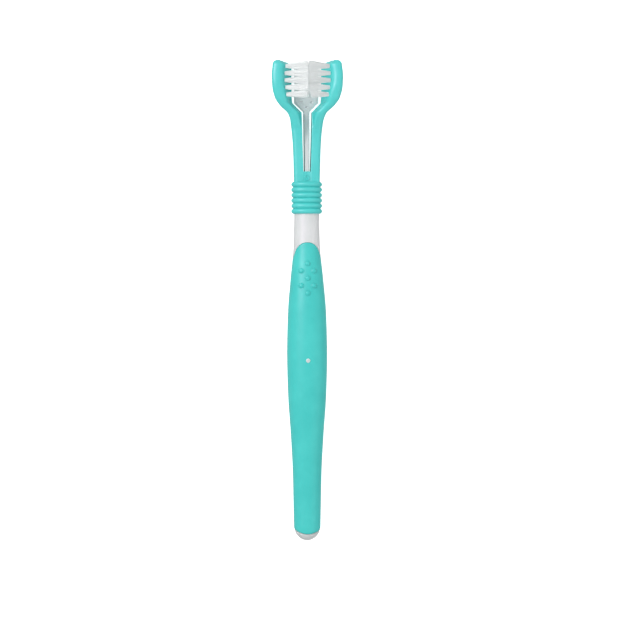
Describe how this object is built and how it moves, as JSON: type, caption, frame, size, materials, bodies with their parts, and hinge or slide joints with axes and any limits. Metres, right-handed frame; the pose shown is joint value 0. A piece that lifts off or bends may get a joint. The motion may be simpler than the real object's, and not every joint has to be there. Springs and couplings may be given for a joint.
{
  "type": "pet toothbrush",
  "caption": "Pet toothbrush with a three-sided head: a centre bristle plate between two flexing cupped arms, a ribbed neck sleeve and a soft grip on a clear handle.",
  "frame": {"origin": "under the middle of the brush, on the surface it lies on, bristles up", "axes": "+Y along the brush from the butt to the head, +Z out of the bristle side, X across"},
  "size_m": [0.0268, 0.18, 0.0163],
  "materials": {
    "clear_plastic": "clear moulded plastic, polished",
    "teal_elastomer": "smooth satin soft-touch elastomer",
    "bristle_nylon": "soft white nylon filaments",
    "anchor_wire": "flat wire"
  },
  "bodies": {
    "handle": {"handle_core": "clear_plastic", "handle_grip": "teal_elastomer", "neck_sleeve": "teal_elastomer", "centre_tuft_anchors": "anchor_wire", "centre_tuft_left_1": "bristle_nylon", "centre_tuft_left_2": "bristle_nylon", "centre_tuft_left_3": "bristle_nylon", "centre_tuft_left_4": "bristle_nylon", "centre_tuft_left_5": "bristle_nylon", "centre_tuft_middle_1": "bristle_nylon", "centre_tuft_middle_2": "bristle_nylon", "centre_tuft_middle_3": "bristle_nylon", "centre_tuft_middle_4": "bristle_nylon", "centre_tuft_middle_5": "bristle_nylon", "centre_tuft_right_1": "bristle_nylon", "centre_tuft_right_2": "bristle_nylon", "centre_tuft_right_3": "bristle_nylon", "centre_tuft_right_4": "bristle_nylon", "centre_tuft_right_5": "bristle_nylon"},
    "left_arm": {"left_arm": "teal_elastomer", "left_tuft_anchors": "anchor_wire", "left_tuft_lower_1": "bristle_nylon", "left_tuft_lower_2": "bristle_nylon", "left_tuft_lower_3": "bristle_nylon", "left_tuft_lower_4": "bristle_nylon", "left_tuft_lower_5": "bristle_nylon", "left_tuft_upper_1": "bristle_nylon", "left_tuft_upper_2": "bristle_nylon", "left_tuft_upper_3": "bristle_nylon", "left_tuft_upper_4": "bristle_nylon", "left_tuft_upper_5": "bristle_nylon"},
    "right_arm": {"right_arm": "teal_elastomer", "right_tuft_anchors": "anchor_wire", "right_tuft_lower_1": "bristle_nylon", "right_tuft_lower_2": "bristle_nylon", "right_tuft_lower_3": "bristle_nylon", "right_tuft_lower_4": "bristle_nylon", "right_tuft_lower_5": "bristle_nylon", "right_tuft_upper_1": "bristle_nylon", "right_tuft_upper_2": "bristle_nylon", "right_tuft_upper_3": "bristle_nylon", "right_tuft_upper_4": "bristle_nylon", "right_tuft_upper_5": "bristle_nylon"}
  },
  "joints": [
    {"name": "left_arm_flex", "type": "hinge", "parent": "handle", "child": "left_arm", "pos_m": [-0.00315, 0.0481, 0.005], "axis": [0, 0, 1], "range_deg": [0, 10], "stiffness_Nm_per_rad": 0.25},
    {"name": "right_arm_flex", "type": "hinge", "parent": "handle", "child": "right_arm", "pos_m": [0.00315, 0.0481, 0.005], "axis": [0, 0, -1], "range_deg": [0, 10], "stiffness_Nm_per_rad": 0.25}
  ]
}
